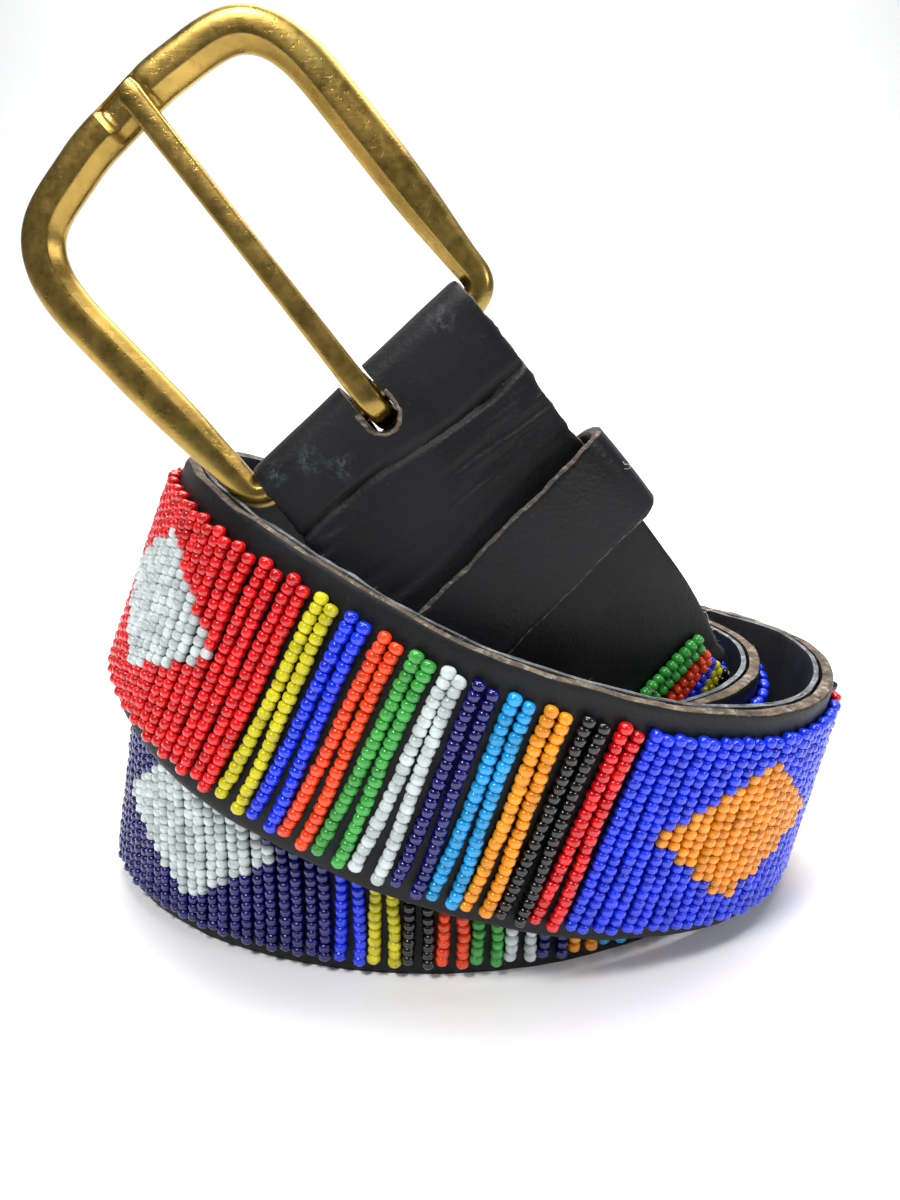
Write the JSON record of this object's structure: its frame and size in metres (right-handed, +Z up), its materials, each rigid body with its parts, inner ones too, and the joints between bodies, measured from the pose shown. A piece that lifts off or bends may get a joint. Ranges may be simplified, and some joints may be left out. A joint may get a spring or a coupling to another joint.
{
  "type": "beaded leather belt",
  "caption": "Leather belt faced with seed beads, lying coiled on its edge, with a brass buckle whose frame and tongue turn on the bar in its folded end.",
  "frame": {"origin": "on the floor, under the middle of the part's box", "axes": "+Z up from the floor the coil stands on, -Y towards the camera, +X to the right as seen from it"},
  "size_m": [0.1362, 0.1084, 0.1413],
  "materials": {
    "face_leather": "matt black, fine grain, raw tan fibres on the cut edge",
    "lining_leather": "dark grey, slightly glossy, scratched",
    "keeper_leather": "matt black with fibrous edges",
    "frame_brass": "antique, worn bright on the edges",
    "tongue_brass": "antique, worn bright on the edges",
    "striped_beads": "opaque glossy seed beads in pairs of columns of one colour",
    "block_beads": "opaque glossy seed beads, one ground colour with a diamond"
  },
  "bodies": {
    "strap": {"strap_face": "face_leather", "strap_lining": "lining_leather", "keeper": "keeper_leather", "beads_stripes_1": "striped_beads", "beads_stripes_2": "striped_beads", "beads_stripes_3": "striped_beads", "beads_stripes_4": "striped_beads", "beads_stripes_5": "striped_beads", "beads_stripes_6": "striped_beads", "beads_stripes_7": "striped_beads", "beads_stripes_8": "striped_beads", "beads_block_1": "block_beads", "beads_block_2": "block_beads", "beads_block_3": "block_beads", "beads_block_4": "block_beads", "beads_block_5": "block_beads", "beads_block_6": "block_beads", "beads_block_7": "block_beads"},
    "frame": {"buckle_frame": "frame_brass"},
    "prong": {"tongue": "tongue_brass"}
  },
  "joints": [
    {"name": "frame_hinge", "type": "hinge", "parent": "strap", "child": "frame", "pos_m": [-0.01469, -0.03032, 0.08749], "axis": [0.7443, 0.0238, 0.6674], "range_deg": [-20, 30]},
    {"name": "tongue_hinge", "type": "hinge", "parent": "frame", "child": "prong", "pos_m": [-0.01469, -0.03032, 0.08749], "axis": [0.7443, 0.0238, 0.6674], "range_deg": [0, 60]}
  ]
}
